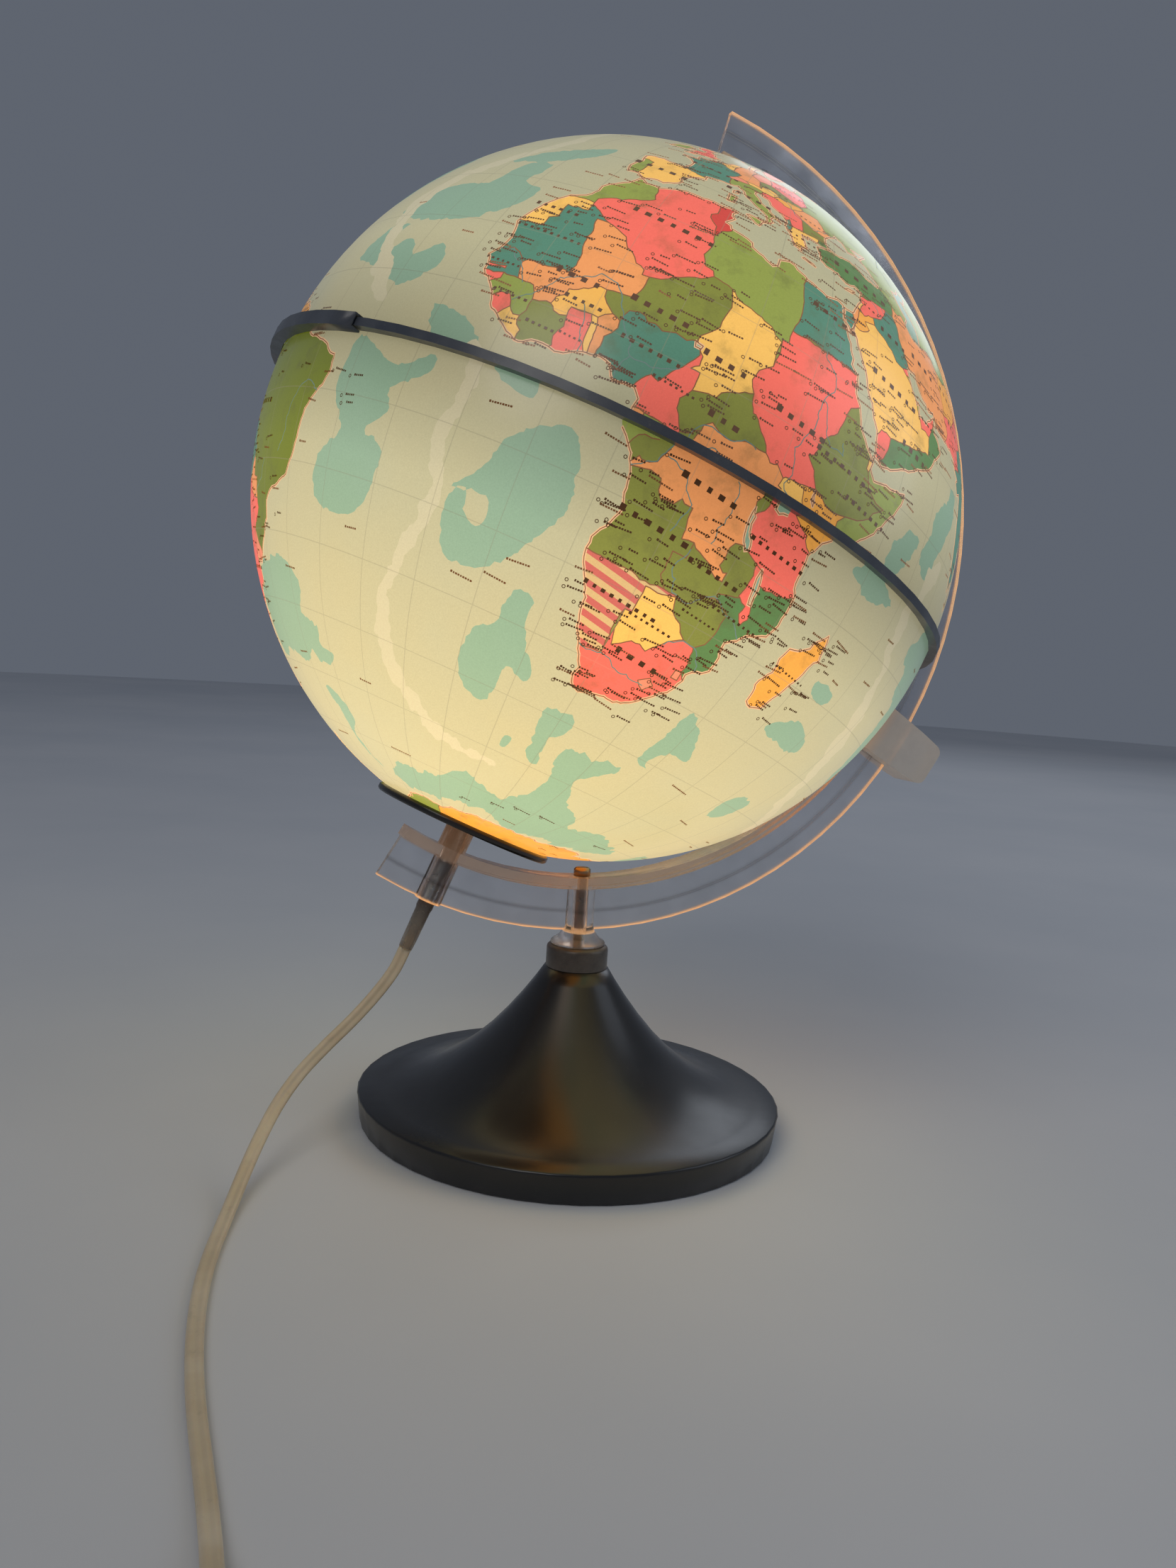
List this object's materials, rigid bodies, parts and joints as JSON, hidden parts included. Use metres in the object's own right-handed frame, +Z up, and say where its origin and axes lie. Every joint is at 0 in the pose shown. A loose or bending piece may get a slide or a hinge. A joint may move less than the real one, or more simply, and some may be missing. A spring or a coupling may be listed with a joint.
{
  "type": "desktop globe on stand",
  "caption": "Illuminated desktop globe that spins on a tilted axis in a clear meridian arm with a sliding cursor, on a flared foot, with a switched mains cord.",
  "frame": {"origin": "centre of the foot's underside, on the surface that it stands on", "axes": "+Z up; the meridian arm lies in the XZ plane and the north pole leans towards +X; +Y is away from the side that the cord lies on"},
  "size_m": [0.3665, 0.5533, 0.4506],
  "materials": {
    "black_plastic": "satin moulded black",
    "collar_plastic": "satin dark grey",
    "clear_acrylic": "clear, polished",
    "frosted_acrylic": "smoked, lightly frosted",
    "printed_globe": "printed map under a satin varnish",
    "ring_strip": "dark flexible strip",
    "steel": "zinc plated",
    "brass": "bright",
    "cast_steel": "as rolled",
    "fibreboard": "pressed board",
    "felt": "felt",
    "bakelite": "moulded",
    "ceramic": "unglazed insulator",
    "opal_glass": "opal",
    "sleeve": "satin",
    "ivory_pvc": "satin ivory"
  },
  "bodies": {
    "stand": {"base_shell": "black_plastic", "base_weight": "cast_steel", "base_plate": "fibreboard", "base_felt": "felt", "plate_screw_1": "steel", "plate_screw_2": "steel", "plate_screw_3": "steel", "base_collar": "collar_plastic", "clamp_bolt": "steel", "clamp_washer": "steel", "clamp_nut": "steel", "meridian_arm": "clear_acrylic", "pole_pin": "steel", "lamp_tube": "steel", "lamp_holder": "bakelite", "holder_nut": "brass", "socket_insert": "ceramic", "socket_shell": "brass", "bulb_cap": "brass", "bulb_glass": "opal_glass", "cord_sleeve": "sleeve", "cord_in_tube": "ivory_pvc", "cord_lead": "ivory_pvc", "cord_middle": "ivory_pvc", "cord_tail": "ivory_pvc", "cord_coil": "ivory_pvc", "switch_base": "ivory_pvc", "switch_cover": "ivory_pvc", "plug_body": "ivory_pvc", "plug_pin_1": "brass", "plug_pin_2": "brass"},
    "globe": {"globe_north": "printed_globe", "globe_south": "printed_globe", "equator_ring": "ring_strip", "ring_joiner": "ring_strip", "pole_cap": "black_plastic", "pole_bush": "black_plastic"},
    "cursor": {"cursor": "frosted_acrylic"},
    "rocker": {"switch_rocker": "black_plastic"}
  },
  "joints": [
    {"name": "globe_spin", "type": "hinge", "parent": "stand", "child": "globe", "pos_m": [0, 0, 0.2725], "axis": [0.3827, 0, 0.9239], "continuous": true},
    {"name": "cursor_slide", "type": "hinge", "parent": "stand", "child": "cursor", "pos_m": [0, 0, 0.2725], "axis": [0, -1, 0], "range_deg": [-50, 88]},
    {"name": "rocker_tip", "type": "hinge", "parent": "stand", "child": "rocker", "pos_m": [-0.1705, -0.309, 0.012], "axis": [1, 0, 0], "range_deg": [0, 16]}
  ]
}
